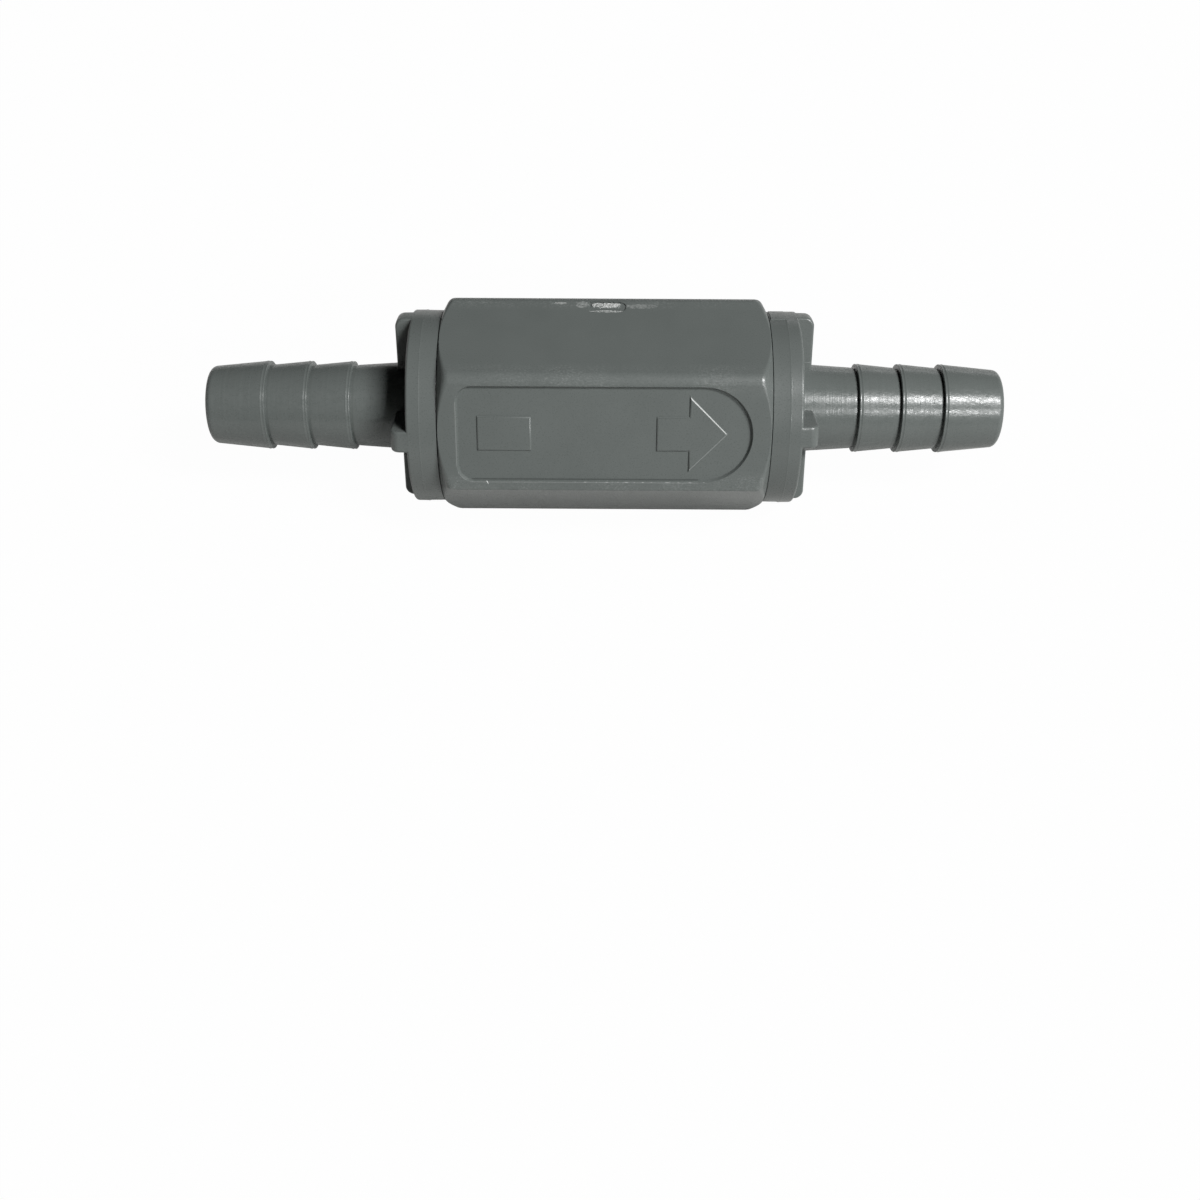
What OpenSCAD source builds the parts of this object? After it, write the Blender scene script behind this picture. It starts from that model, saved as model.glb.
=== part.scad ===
// Inline non-return valve with a hose barb at each end.
// A spring holds a soft-faced poppet on its seat, and flow along +X lifts it.
// The origin is on the bore axis, half way along, and the valve lies on one flat
// of its hexagonal body, which faces down. Millimetres throughout.

/* [Hex body] */
// Distance across the flats
across_flats = 30.5; // [29.5:0.1:34]
// Length of the hexagonal body
body_length = 50.5; // [48:0.5:60]
// Rounding of the four corners that the mould's halves form whole
corner_radius = 2.1; // [1:0.1:3]
// Rounding of the two corners on the mould's parting line
parting_corner_radius = 0.25; // [0.1:0.05:0.8]
// Angle of the turned-off corners at each end, as on a nut
end_chamfer_angle = 30; // [20:1:40]
// How much smaller across the end face is than the flats
end_face_relief = 0.3; // [0.1:0.1:1]

/* [Flow panel] */
// Length of the sunk panel on the front upper flat
panel_length = 44.5; // [40:0.5:47]
// Width of the panel, and of its round end
panel_width = 14.8; // [13:0.1:15]
// Depth of the panel
panel_depth = 0.42; // [0.3:0.02:0.8]
// Corner rounding at the panel's square end
panel_corner_radius = 2.3; // [1:0.1:4]
// Height of the raised marks above the panel's floor
mark_height = 0.25; // [0.1:0.05:0.28]
// Width of the arrow's shaft and of the tail block
mark_width = 5.4; // [4:0.1:7]
// Length of the tail block
tail_length = 8.2; // [5:0.1:10]
// From the panel's square end to the tail block
tail_inset = 3; // [2:0.1:5]
// Whole length of the arrow
arrow_length = 10.8; // [9:0.1:14]
// Length of the arrow's head
arrow_head_length = 5.9; // [4:0.1:7]
// Width of the arrow's head
arrow_head_width = 12; // [8:0.1:12.5]
// From the arrow's tip to the panel's round end
arrow_inset = 3.6; // [2:0.1:5]

/* [Gate scar] */
// Length of the broken-off mould gate on the top flat
gate_length = 8.1; // [5:0.1:12]
// Width of the gate
gate_width = 2.4; // [1.5:0.1:3]
// Depth to which it was torn out
gate_depth = 0.3; // [0.15:0.05:0.6]
// Along the body, from its middle to the gate's middle
gate_shift = -0.6; // [-6:0.1:6]
// From the bore axis back to the gate's middle line
gate_setback = 6.6; // [4:0.1:6.8]

/* [End pieces] */
// Diameter of the flange
rim_d = 30.2; // [29:0.1:30.4]
// Width of the flange
rim_width = 4.5; // [3.5:0.1:6]
// Rounding of the flange's outer edge
rim_edge_radius = 0.5; // [0.2:0.1:1]
// From the flange's inner face to its parting line
parting_offset = 2.5; // [1.5:0.1:3]
// How far the flange's outer half stands proud at the parting line
parting_step = 0.05; // [0.02:0.01:0.2]
// Draft of the flange's two halves, in degrees
rim_draft = 1; // [0.5:0.1:2]
// Gap that shows between the body and each flange
joint_gap = 0.25; // [0.1:0.05:0.5]
// Number of grip ribs on each flange
rib_count = 4; // [3:1:6]
// Thickness of a rib
rib_thickness = 3.4; // [2:0.1:4.5]
// How far a rib stands out from the flange
rib_height = 2.45; // [1.5:0.05:4]
// Rounding of a rib's outer corner
rib_corner_radius = 1.35; // [0.5:0.05:1.4]
// Turn of the inlet's ribs from the panel's flat when screwed home, in degrees
inlet_turn = 6; // [0:0.5:45]
// Turn of the outlet's ribs from the panel's flat when screwed home, in degrees
outlet_turn = 1.5; // [0:0.5:45]
// Height of the pad left by the mould on the outlet's flange
pad_height = 0.09; // [0.05:0.01:0.15]
// Width of that pad round the flange
pad_width = 5; // [3:0.5:7]

/* [Hose barbs] */
// From the flange's outer face to the tip
barb_reach = 32.5; // [31:0.5:45]
// Bore through the barb
bore_d = 9.5; // [8:0.1:10]
// Diameter of the neck at the flange
neck_d = 13.8; // [13.4:0.1:14.4]
// Diameter between the ridges
root_d = 13; // [12.6:0.1:13.4]
// Diameter over the ridges
crest_d = 13.9; // [13.6:0.1:15]
// Number of ridges
ridge_count = 3; // [2:1:4]
// From the flange's outer face to the first ridge
first_ridge = 9.7; // [7:0.1:10]
// From one ridge to the next
ridge_pitch = 6.65; // [5.5:0.05:6.8]
// Length of the round land on top of a ridge
crest_land = 0.35; // [0.2:0.05:0.6]
// Diameter at the tip, before its rounding
tip_d = 12.3; // [12:0.1:12.8]
// Rounding of the tip
tip_radius = 1.1; // [0.6:0.1:1.1]
// Rounding where the neck leaves the flange
neck_fillet = 1.2; // [0.5:0.1:1.6]

/* [Threaded spigots] */
// Mean diameter of the thread
thread_d = 21; // [20.6:0.1:22.5]
// Running clearance of the thread, all round
thread_fit = 0.05; // [0.03:0.01:0.1]
// Wall of the spigot
spigot_wall = 2.5; // [2:0.1:3.5]
// Chamfer at the spigot's end
spigot_chamfer = 0.6; // [0.3:0.1:1]

/* [Seals] */
// Cord of the flange O-rings
flange_ring_cord = 1.6; // [1.2:0.1:2]
// Cord of the seat's O-ring
seat_ring_cord = 1.5; // [1.2:0.1:1.7]
// Room left round a seal
seal_fit = 0.05; // [0.03:0.01:0.1]

/* [Chamber] */
// Length of the chamber between its two shoulders
chamber_length = 18; // [16.5:0.5:22]
// Bore of the chamber
chamber_d = 19; // [18.4:0.1:19.4]
// Thickness of the seat ring and of the guide's rim, which the end pieces clamp
insert_thickness = 4.5; // [4:0.1:5.5]
// Clearance round the clamped inserts
insert_fit = 0.1; // [0.05:0.01:0.15]
// Opening through the seat
orifice_d = 10; // [9:0.1:11]
// Height of the seat's sealing lip
lip_height = 0.7; // [0.4:0.1:1]
// Width of the lip's flat top
lip_land = 0.35; // [0.2:0.05:0.6]
// Width of the lip at its foot
lip_foot = 1.1; // [0.8:0.1:1.3]

/* [Poppet] */
// Diameter of the head
head_d = 15.2; // [14.6:0.1:16.4]
// Thickness of the head behind the seal
head_thickness = 2; // [1.6:0.1:2.6]
// Wall round the seal
skirt_wall = 0.8; // [0.6:0.1:1]
// Length of the wall round the seal
skirt_length = 1; // [0.6:0.1:1.2]
// Thickness of the rubber seal
seal_thickness = 1.6; // [1.4:0.1:2]
// Boss through the middle of the seal
seal_boss_d = 4.2; // [3.6:0.1:4.8]
// Diameter of the stem
stem_d = 3.5; // [3:0.1:4]
// Running clearance of the stem, all round
stem_fit = 0.05; // [0.03:0.01:0.09]
// Shoulder on the stem that meets the guide when fully open
stop_d = 4.8; // [4.4:0.1:5.6]
// Travel of the poppet
stroke = 5; // [3:0.5:5.5]
// How far the stem ends short of the guide's back face
stem_setback = 0.5; // [0.2:0.1:1.5]

/* [Seal retainer] */
// Diameter of the washer
retainer_d = 8.4; // [7.5:0.1:8.6]
// Thickness of the washer
retainer_thickness = 0.8; // [0.5:0.1:1]
// Shank of the screw
screw_d = 2; // [1.6:0.1:2.4]
// Clearance round the screw's shank
screw_fit = 0.05; // [0.03:0.01:0.1]
// Length of the screw under its head
screw_length = 6; // [5:0.1:7]
// Diameter of the screw's head
screw_head_d = 4; // [3.4:0.1:4.6]
// Height of the screw's head
screw_head_height = 1.3; // [1:0.1:1.6]
// Width of the driver slot
slot_width = 0.5; // [0.4:0.05:0.8]
// Depth of the driver slot
slot_depth = 0.6; // [0.4:0.05:0.7]

/* [Closing spring] */
// Wire diameter
wire_d = 0.5; // [0.4:0.05:0.6]
// Mean diameter of the coils
coil_d = 7.2; // [6.8:0.1:7.6]
// Number of working coils
working_coils = 8; // [6:1:9]
// Length of the bosses that hold the spring central
spring_boss_length = 2; // [1.2:0.1:2]
// Gap between those bosses and the coils
spring_boss_fit = 0.25; // [0.1:0.05:0.4]

/* [Stem guide] */
// Wall of the guide's outer rim
guide_rim_wall = 1.85; // [1.2:0.05:2.4]
// Diameter of the hub behind the spring
hub_d = 8.4; // [8.2:0.1:9.5]
// How far the hub reaches into the chamber
hub_rise = 2; // [1.5:0.1:2.5]
// Number of spokes
spoke_count = 3; // [3:1:5]
// Thickness of a spoke
spoke_thickness = 1.6; // [1.2:0.1:2.2]
// How far a spoke stops short of the rim's two faces
spoke_inset = 0.5; // [0.2:0.1:1]

/* [Hidden] */
$fn = 96;

pvc_grey = "#5f6462";
rubber_black = "#232425";
acetal_white = "#d9d7cd";
steel = "#b5b8bb";

// Turned past a cut's faces, so that cuts leave no skin
over = 1;
// The panel's flat is turned this far forward from the top
panel_turn = 60;
// Before the ends are screwed home, one rib is in line with the panel
first_rib_angle = 150;
// From the top, back to the middle of the pad on the outlet's flange
pad_angle = 30;
// Room left at the end of the stroke
stop_fit = 0.05;
// How far the seal stands above its boss, for the washer to squeeze
seal_squeeze = 0.1;
// Clearance in the screw's blind hole, past its point
screw_hole_run = 0.5;
// Slope of a spring's closed end turns, in wire diameters
end_turn_rise = 1.15;
steps_per_turn = 18;
wire_sides = 8;

apothem = across_flats / 2;
thread_r = thread_d / 2;
thread_bore_r = thread_r + thread_fit;
spigot_bore_r = thread_r - spigot_wall;
bore_r = bore_d / 2;
rim_r = rim_d / 2;

// Places along the flow, from the middle outwards
shoulder_x = chamber_length / 2;
insert_x = shoulder_x + insert_thickness;
body_end_x = body_length / 2;
flange_x = body_end_x + joint_gap;
cap_face_x = flange_x + rim_width;
tip_x = cap_face_x + barb_reach;
// The flared bore meets the barb's bore so that the wall keeps its thickness
flare_end_x = cap_face_x - (neck_d / 2 - bore_r) + 1.4;
flare_start_x = flare_end_x - (spigot_bore_r - bore_r);

// Places along the poppet, with the valve shut
lip_x = lip_height - shoulder_x;
head_front_x = lip_x + seal_thickness;
head_back_x = head_front_x + head_thickness;
spring_seat_x = shoulder_x - hub_rise;
hub_front_x = spring_seat_x - spring_boss_length;
stop_x = hub_front_x - stroke - stop_fit;
stem_end_x = insert_x - stem_setback;
retainer_x = lip_x - retainer_thickness;
screw_end_x = retainer_x + screw_length;

insert_r = thread_bore_r - insert_fit;
seal_pocket_r = head_d / 2 - skirt_wall;
spring_boss_r = (coil_d - wire_d) / 2 - spring_boss_fit;
orifice_r = orifice_d / 2;

// A round outline, drawn as radius against place along the flow
module turned() {
    rotate([90, 0, 90]) rotate_extrude() children();
}

module tube(x0, x1, inner_r, outer_r) {
    turned() translate([inner_r, x0]) square([outer_r - inner_r, x1 - x0]);
}

module rod(x0, x1, r) {
    translate([x0, 0, 0]) rotate([0, 90, 0]) cylinder(h = x1 - x0, r = r);
}

module o_ring(x, cord, inner_r) {
    turned() translate([inner_r + cord / 2, x]) circle(d = cord);
}

// Points along an arc, in the plane of the outline
function arc(cx, cy, r, a0, a1, steps = 6) =
    [for (i = [0:steps]) [cx + r * cos(a0 + (a1 - a0) * i / steps),
                          cy + r * sin(a0 + (a1 - a0) * i / steps)]];

// Takes one sharp corner off the hexagon, down to a round one
module corner_trim(r) {
    centre = (apothem - r) / cos(30);
    difference() {
        polygon([[centre, 0],
                 [centre + 3 * r * cos(30), -3 * r * sin(30)],
                 [centre + 3 * r * cos(30), 3 * r * sin(30)]]);
        translate([centre, 0]) circle(r = r);
    }
}

module hexagon() {
    difference() {
        circle(r = apothem / cos(30), $fn = 6);
        for (a = [60, 120, 240, 300]) rotate(a) corner_trim(corner_radius);
        for (a = [0, 180]) rotate(a) corner_trim(parting_corner_radius);
    }
}

// The round envelope that takes the corners off at each end
module end_chamfers() {
    face_r = apothem - end_face_relief / 2;
    deep = apothem / cos(30) - face_r + over;
    back = deep * tan(end_chamfer_angle);
    turned() polygon([[0, -body_end_x], [face_r, -body_end_x],
                      [face_r + deep, back - body_end_x],
                      [face_r + deep, body_end_x - back],
                      [face_r, body_end_x], [0, body_end_x]]);
}

// Puts children on the panel's flat, with X along the flow and Z outwards
module on_panel_flat(lift = 0) {
    rotate([panel_turn, 0, 0]) translate([0, 0, apothem + lift]) children();
}

module panel_outline() {
    left = -panel_length / 2;
    round_r = panel_width / 2;
    straight = panel_length - panel_corner_radius - round_r;
    translate([left + panel_corner_radius, -round_r]) square([straight, panel_width]);
    translate([left, panel_corner_radius - round_r])
        square([2 * panel_corner_radius, panel_width - 2 * panel_corner_radius]);
    for (side = [-1, 1])
        translate([left + panel_corner_radius, side * (round_r - panel_corner_radius)])
            circle(r = panel_corner_radius);
    translate([left + panel_corner_radius + straight, 0]) circle(r = round_r);
}

module flow_arrow() {
    tip = panel_length / 2 - arrow_inset;
    head = tip - arrow_head_length;
    tail = tip - arrow_length;
    w = mark_width / 2;
    h = arrow_head_width / 2;
    polygon([[tail, -w], [head, -w], [head, -h], [tip, 0], [head, h], [head, w], [tail, w]]);
}

module tail_block() {
    translate([tail_inset - panel_length / 2, -mark_width / 2])
        square([tail_length, mark_width]);
}

// Where the gate tore out, with a broken stub left standing in it
module gate_recess() {
    straight = gate_length - gate_width;
    translate([gate_shift, gate_setback, apothem - gate_depth]) {
        linear_extrude(gate_depth + over) {
            square([straight, gate_width], center = true);
            for (side = [-1, 1]) translate([side * straight / 2, 0]) circle(d = gate_width);
        }
    }
}

module gate_stub() {
    l = gate_length / 2;
    w = gate_width / 2;
    translate([gate_shift, gate_setback, apothem - gate_depth - over])
        linear_extrude(over + 0.8 * gate_depth)
            polygon([[-0.62 * l, -0.2 * w], [-0.3 * l, -0.62 * w], [0.2 * l, -0.42 * w],
                     [0.66 * l, -0.5 * w], [0.72 * l, 0.3 * w], [0.1 * l, 0.55 * w],
                     [-0.4 * l, 0.4 * w]]);
}

// The counterbore at each end that holds a flange O-ring
ring_bore_r = thread_r + flange_ring_cord + 2 * seal_fit;
ring_bore_x = flange_x - flange_ring_cord - 2 * seal_fit;

module hex_body() color(pvc_grey) {
    difference() {
        intersection() {
            rotate([90, 0, 90]) linear_extrude(body_length, center = true) hexagon();
            end_chamfers();
        }
        on_panel_flat(-panel_depth) linear_extrude(panel_depth + over) panel_outline();
        gate_recess();
        rod(-body_end_x - over, body_end_x + over, chamber_d / 2);
        for (side = [0, 1]) mirror([side, 0, 0]) {
            rod(shoulder_x, body_end_x + over, thread_bore_r);
            rod(ring_bore_x, body_end_x + over, ring_bore_r);
        }
    }
    on_panel_flat(-panel_depth - over) linear_extrude(over + mark_height) {
        flow_arrow();
        tail_block();
    }
    gate_stub();
}

// Half of the outline of one end piece, from its spigot to its tip
function barb_outline() = concat(
    [for (i = [0:ridge_count - 1])
        let (x = cap_face_x + first_ridge + i * ridge_pitch)
        each [[root_d / 2, x], [crest_d / 2, x], [crest_d / 2, x + crest_land]]],
    arc(tip_d / 2 - tip_radius, tip_x - tip_radius, tip_radius, 0, 90));

module end_outline() {
    draft = tan(rim_draft);
    parting_x = flange_x + parting_offset;
    outer_r = rim_r - draft * (rim_width - parting_offset);
    polygon(concat(
        [[bore_r, tip_x], [bore_r, flare_end_x], [spigot_bore_r, flare_start_x],
         [spigot_bore_r, insert_x], [thread_r - spigot_chamfer, insert_x],
         [thread_r, insert_x + spigot_chamfer], [thread_r, flange_x],
         [rim_r - parting_step - draft * parting_offset, flange_x],
         [rim_r - parting_step, parting_x], [rim_r, parting_x]],
        arc(outer_r - rim_edge_radius, cap_face_x - rim_edge_radius, rim_edge_radius, 0, 90),
        arc(neck_d / 2 + neck_fillet, cap_face_x + neck_fillet, neck_fillet, 270, 180),
        barb_outline()));
}

module grip_rib() {
    foot_r = (bore_r + neck_d / 2) / 2;
    foot_x = cap_face_x - rim_edge_radius;
    top_x = cap_face_x + rib_height;
    rotate([90, 0, 0]) linear_extrude(rib_thickness, center = true)
        polygon(concat([[foot_r, foot_x], [rim_r, foot_x]],
                       arc(rim_r - rib_corner_radius, top_x - rib_corner_radius,
                           rib_corner_radius, 0, 90),
                       [[foot_r, top_x]]));
}

// The ribs' outer ends lie in the flange's own drafted surface
module rib_envelope() {
    draft = tan(rim_draft);
    outer_r = rim_r - draft * (rim_width - parting_offset - rim_edge_radius);
    start_x = cap_face_x - rim_edge_radius;
    turned() polygon([[0, start_x], [outer_r, start_x],
                      [outer_r - draft * (rib_height + over), start_x + rib_height + over],
                      [0, start_x + rib_height + over]]);
}

module moulding_pad() {
    intersection() {
        tube(flange_x, flange_x + parting_offset, rim_r - over, rim_r - parting_step + pad_height);
        rotate([-pad_angle, 0, 0])
            translate([flange_x, -pad_width / 2, 0]) cube([parting_offset, pad_width, 2 * rim_r]);
    }
}

module end_piece() {
    turned() end_outline();
    intersection() {
        rotate([90, 0, 90])
            for (i = [0:rib_count - 1])
                rotate([0, 0, first_rib_angle + i * 360 / rib_count]) grip_rib();
        rib_envelope();
    }
}

module outlet_end() color(pvc_grey) {
    rotate([outlet_turn, 0, 0]) {
        end_piece();
        moulding_pad();
    }
}

module inlet_end() color(pvc_grey) {
    mirror([1, 0, 0]) rotate([inlet_turn, 0, 0]) end_piece();
}

module flange_o_ring() {
    o_ring(flange_x - seal_fit - flange_ring_cord / 2, flange_ring_cord, thread_r + seal_fit);
}

module outlet_o_ring() color(rubber_black) flange_o_ring();

module inlet_o_ring() color(rubber_black) mirror([1, 0, 0]) flange_o_ring();

// The seat ring's groove, and the O-ring in it, lie half way along the ring
seat_mid_x = -(shoulder_x + insert_x) / 2;
seat_ring_inner_r = thread_bore_r - seal_fit - seat_ring_cord;
groove_r = seat_ring_inner_r - seal_fit;
groove_half = seat_ring_cord / 2 + 3 * seal_fit;

module seat_ring() color(acetal_white) {
    entry = insert_thickness / 3;
    lip_slope = (lip_foot - lip_land) / 2;
    turned() polygon([
        [orifice_r, entry - insert_x], [orifice_r, -shoulder_x],
        [orifice_r + lip_slope, lip_x], [orifice_r + lip_slope + lip_land, lip_x],
        [orifice_r + lip_foot, -shoulder_x], [insert_r, -shoulder_x],
        [insert_r, seat_mid_x + groove_half], [groove_r, seat_mid_x + groove_half],
        [groove_r, seat_mid_x - groove_half], [insert_r, seat_mid_x - groove_half],
        [insert_r, -insert_x], [orifice_r + entry, -insert_x]]);
}

module seat_o_ring() color(rubber_black) {
    o_ring(seat_mid_x, seat_ring_cord, seat_ring_inner_r);
}

module stem_guide() color(acetal_white) {
    rim_inner_r = insert_r - guide_rim_wall;
    hub_bore_r = stem_d / 2 + stem_fit;
    web_inner_r = (hub_bore_r + hub_d / 2) / 2;
    web_outer_r = insert_r - guide_rim_wall / 2;
    tube(shoulder_x, insert_x, rim_inner_r, insert_r);
    tube(spring_seat_x, insert_x, hub_bore_r, hub_d / 2);
    tube(hub_front_x, spring_seat_x + over, hub_bore_r, spring_boss_r);
    for (i = [0:spoke_count - 1])
        rotate([i * 360 / spoke_count, 0, 0])
            translate([shoulder_x + spoke_inset, -spoke_thickness / 2, web_inner_r])
                cube([insert_thickness - 2 * spoke_inset, spoke_thickness,
                      web_outer_r - web_inner_r]);
}

// Height of the wire's middle above the spring's first seat, after some turns
spring_length = spring_seat_x - head_back_x;
working_rise = spring_length - wire_d - 2 * end_turn_rise * wire_d;
function wire_height(turns) =
    wire_d / 2 + (turns < 1 ? turns * end_turn_rise * wire_d :
    turns > working_coils + 1 ?
        end_turn_rise * wire_d * (turns - working_coils) + working_rise :
    end_turn_rise * wire_d + (turns - 1) / working_coils * working_rise);

module closing_spring() color(steel) {
    rings = (working_coils + 2) * steps_per_turn;
    points = [for (i = [0:rings], k = [0:wire_sides - 1])
        let (turn = 360 * i / steps_per_turn, side = 360 * k / wire_sides,
             r = coil_d / 2 + wire_d / 2 * cos(side))
        [head_back_x + wire_height(i / steps_per_turn) + wire_d / 2 * sin(side),
         r * cos(turn), r * sin(turn)]];
    skin = [for (i = [0:rings - 1], k = [0:wire_sides - 1])
        let (a = i * wire_sides + k, b = i * wire_sides + (k + 1) % wire_sides)
        each [[a, b, b + wire_sides], [a, b + wire_sides, a + wire_sides]]];
    first_cap = [for (k = [wire_sides - 1:-1:0]) k];
    last_cap = [for (k = [0:wire_sides - 1]) rings * wire_sides + k];
    polyhedron(points, concat(skin, [first_cap, last_cap]));
}

module poppet() color(acetal_white) {
    head_r = head_d / 2;
    edge = head_thickness / 4;
    hole_r = screw_d / 2 + screw_fit;
    stem_r = stem_d / 2;
    turned() polygon([
        [0, screw_end_x + screw_hole_run], [hole_r, screw_end_x + screw_hole_run],
        [hole_r, lip_x + seal_squeeze], [seal_boss_d / 2, lip_x + seal_squeeze],
        [seal_boss_d / 2, head_front_x], [seal_pocket_r, head_front_x],
        [seal_pocket_r, head_front_x - skirt_length], [head_r, head_front_x - skirt_length],
        [head_r, head_back_x - edge], [head_r - edge, head_back_x],
        [spring_boss_r, head_back_x], [spring_boss_r, head_back_x + spring_boss_length],
        [stop_d / 2, head_back_x + spring_boss_length], [stop_d / 2, stop_x],
        [stem_r, stop_x], [stem_r, stem_end_x - edge], [stem_r - edge, stem_end_x],
        [0, stem_end_x]]);
}

module poppet_seal() color(rubber_black) {
    tube(lip_x, head_front_x, seal_boss_d / 2 + seal_fit, seal_pocket_r - seal_fit);
}

module seal_retainer() color(steel) {
    tube(retainer_x, lip_x, screw_d / 2 + screw_fit, retainer_d / 2);
}

module retainer_screw() color(steel) {
    dome = screw_head_height / 3;
    head_r = screw_head_d / 2;
    difference() {
        turned() polygon([
            [0, retainer_x - screw_head_height],
            [head_r - dome, retainer_x - screw_head_height],
            [head_r, retainer_x - screw_head_height + dome], [head_r, retainer_x],
            [screw_d / 2, retainer_x], [screw_d / 2, screw_end_x - screw_d / 2],
            [0, screw_end_x]]);
        translate([retainer_x - screw_head_height + slot_depth, 0, 0])
            translate([-over - slot_depth, -slot_width / 2, -screw_head_d])
                cube([over + slot_depth, slot_width, 2 * screw_head_d]);
    }
}

hex_body();
inlet_end();
outlet_end();
inlet_o_ring();
outlet_o_ring();
seat_ring();
seat_o_ring();
stem_guide();
closing_spring();
poppet();
poppet_seal();
seal_retainer();
retainer_screw();
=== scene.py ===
import bpy
import bmesh
from math import cos, sin, tan, pi, radians, degrees, sqrt
from mathutils import Vector, Matrix
from mathutils.noise import fractal


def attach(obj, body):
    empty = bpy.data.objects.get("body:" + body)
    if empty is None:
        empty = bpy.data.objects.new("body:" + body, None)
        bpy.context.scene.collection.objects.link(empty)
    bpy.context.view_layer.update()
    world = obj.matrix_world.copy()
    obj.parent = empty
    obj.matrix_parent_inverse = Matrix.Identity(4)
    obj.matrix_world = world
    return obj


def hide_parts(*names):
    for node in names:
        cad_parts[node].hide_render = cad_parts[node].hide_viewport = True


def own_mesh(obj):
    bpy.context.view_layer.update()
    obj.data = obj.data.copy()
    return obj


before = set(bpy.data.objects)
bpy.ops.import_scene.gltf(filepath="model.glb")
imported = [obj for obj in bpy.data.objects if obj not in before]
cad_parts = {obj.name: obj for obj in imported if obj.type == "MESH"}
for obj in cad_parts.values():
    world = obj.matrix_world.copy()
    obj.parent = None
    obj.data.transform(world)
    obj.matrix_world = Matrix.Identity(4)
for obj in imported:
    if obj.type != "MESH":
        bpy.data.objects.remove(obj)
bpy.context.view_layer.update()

mm = 0.001  # pieces are modelled in millimetres and brought down to metres when done
samePoint = 0.001  # points closer than this, in mm, are one point
flatHeight = 15.25  # from the bore axis to the body's flats, in mm
panelTurn = 60  # degrees about the bore from the top flat to the panel's flat
mouldDraft = tan(radians(1))  # how far the end pieces' walls lean, for each mm


# Selecting and finishing

def deselectAll():
    if bpy.context.object and bpy.context.object.mode != 'OBJECT':
        bpy.ops.object.mode_set(mode='OBJECT')
    bpy.ops.object.select_all(action='DESELECT')


def pick(piece):
    deselectAll()
    piece.select_set(True)
    bpy.context.view_layer.objects.active = piece


def choose(piece, kind, test):
    # in edit mode, selects the vertices, edges or faces that pass the test
    if piece.mode != 'EDIT':
        pick(piece)
        bpy.ops.object.mode_set(mode='EDIT')
    bpy.ops.mesh.select_mode(type=kind)
    bpy.ops.mesh.select_all(action='DESELECT')
    form = bmesh.from_edit_mesh(piece.data)
    group = {'VERT': form.verts, 'EDGE': form.edges, 'FACE': form.faces}[kind]
    for part in [part for part in group if test(part)]:
        part.select_set(True)
    form.select_flush_mode()
    bmesh.update_edit_mesh(piece.data)


def anyPart(part):
    return True


def facesUp(face):
    return face.normal.z > 0.9


def facesDown(face):
    return face.normal.z < -0.9


def placeChosen(piece, place):
    # puts each selected vertex where place() says
    form = bmesh.from_edit_mesh(piece.data)
    for vertex in form.verts:
        if vertex.select:
            vertex.co = place(vertex.co)
    bmesh.update_edit_mesh(piece.data)


def extrude(x=0, y=0, z=0):
    bpy.ops.mesh.extrude_region_move(TRANSFORM_OT_translate={'value': (x, y, z)})


def fromAxis(co):
    return sqrt(co.y ** 2 + co.z ** 2)


def settle(piece):
    pick(piece)
    bpy.ops.object.transform_apply(location=True, rotation=True, scale=True)


def closeUp(piece):
    # merges doubles and points the faces outwards
    choose(piece, 'VERT', anyPart)
    bpy.ops.mesh.remove_doubles(threshold=samePoint)
    bpy.ops.mesh.normals_make_consistent(inside=False)
    deselectAll()


def applyModifier(piece, kind, settings):
    pick(piece)
    bpy.ops.object.modifier_add(type=kind)
    modifier = piece.modifiers[-1]
    for name, value in settings.items():
        setattr(modifier, name, value)
    bpy.ops.object.modifier_apply(modifier=modifier.name)


def combine(piece, tool, operation):
    applyModifier(piece, 'BOOLEAN', {'operation': operation, 'solver': 'EXACT', 'object': tool})
    bpy.data.objects.remove(tool, do_unlink=True)


def copyOf(piece, name):
    pick(piece)
    bpy.ops.object.duplicate()
    bpy.context.object.name = name
    return bpy.context.object


def startBlock(name, size, middle):
    deselectAll()
    bpy.ops.mesh.primitive_cube_add(size=1, location=middle)
    block = bpy.context.object
    block.name = name
    block.scale = size
    settle(block)
    return block


def drawOutline(name, points):
    # one vertex, extruded from point to point
    deselectAll()
    bpy.ops.mesh.primitive_plane_add(size=1)
    piece = bpy.context.object
    piece.name = name
    bpy.ops.object.mode_set(mode='EDIT')
    bpy.ops.mesh.select_mode(type='VERT')
    bpy.ops.mesh.merge(type='CENTER')
    bpy.ops.transform.translate(value=points[0])
    for start, end in zip(points, points[1:]):
        step = Vector(end) - Vector(start)
        bpy.ops.mesh.extrude_vertices_move(TRANSFORM_OT_translate={'value': step})
    bpy.ops.mesh.select_all(action='SELECT')
    return piece


def softCorners(points, size, closed=True, leastTurn=25, leastCut=0.01, edgeShare=0.4):
    # breaks each corner of an outline with a small round, which takes up no more than a share of each edge
    soft = []
    for i, point in enumerate(points):
        here = Vector(point)
        if not closed and i in (0, len(points) - 1):
            soft.append(here)
            continue
        back, on = Vector(points[i - 1]) - here, Vector(points[(i + 1) % len(points)]) - here
        turn = abs(degrees(back.angle(on, pi)) - 180)
        cut = min(size, edgeShare * back.length, edgeShare * on.length)
        if turn < leastTurn or cut < leastCut or abs(here.x) < samePoint:
            soft.append(here)
            continue
        a, b = here + back.normalized() * cut, here + on.normalized() * cut
        soft += [a, a * 0.25 + here * 0.5 + b * 0.25, b]
    return [(point[0], point[1]) for point in soft]


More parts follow.
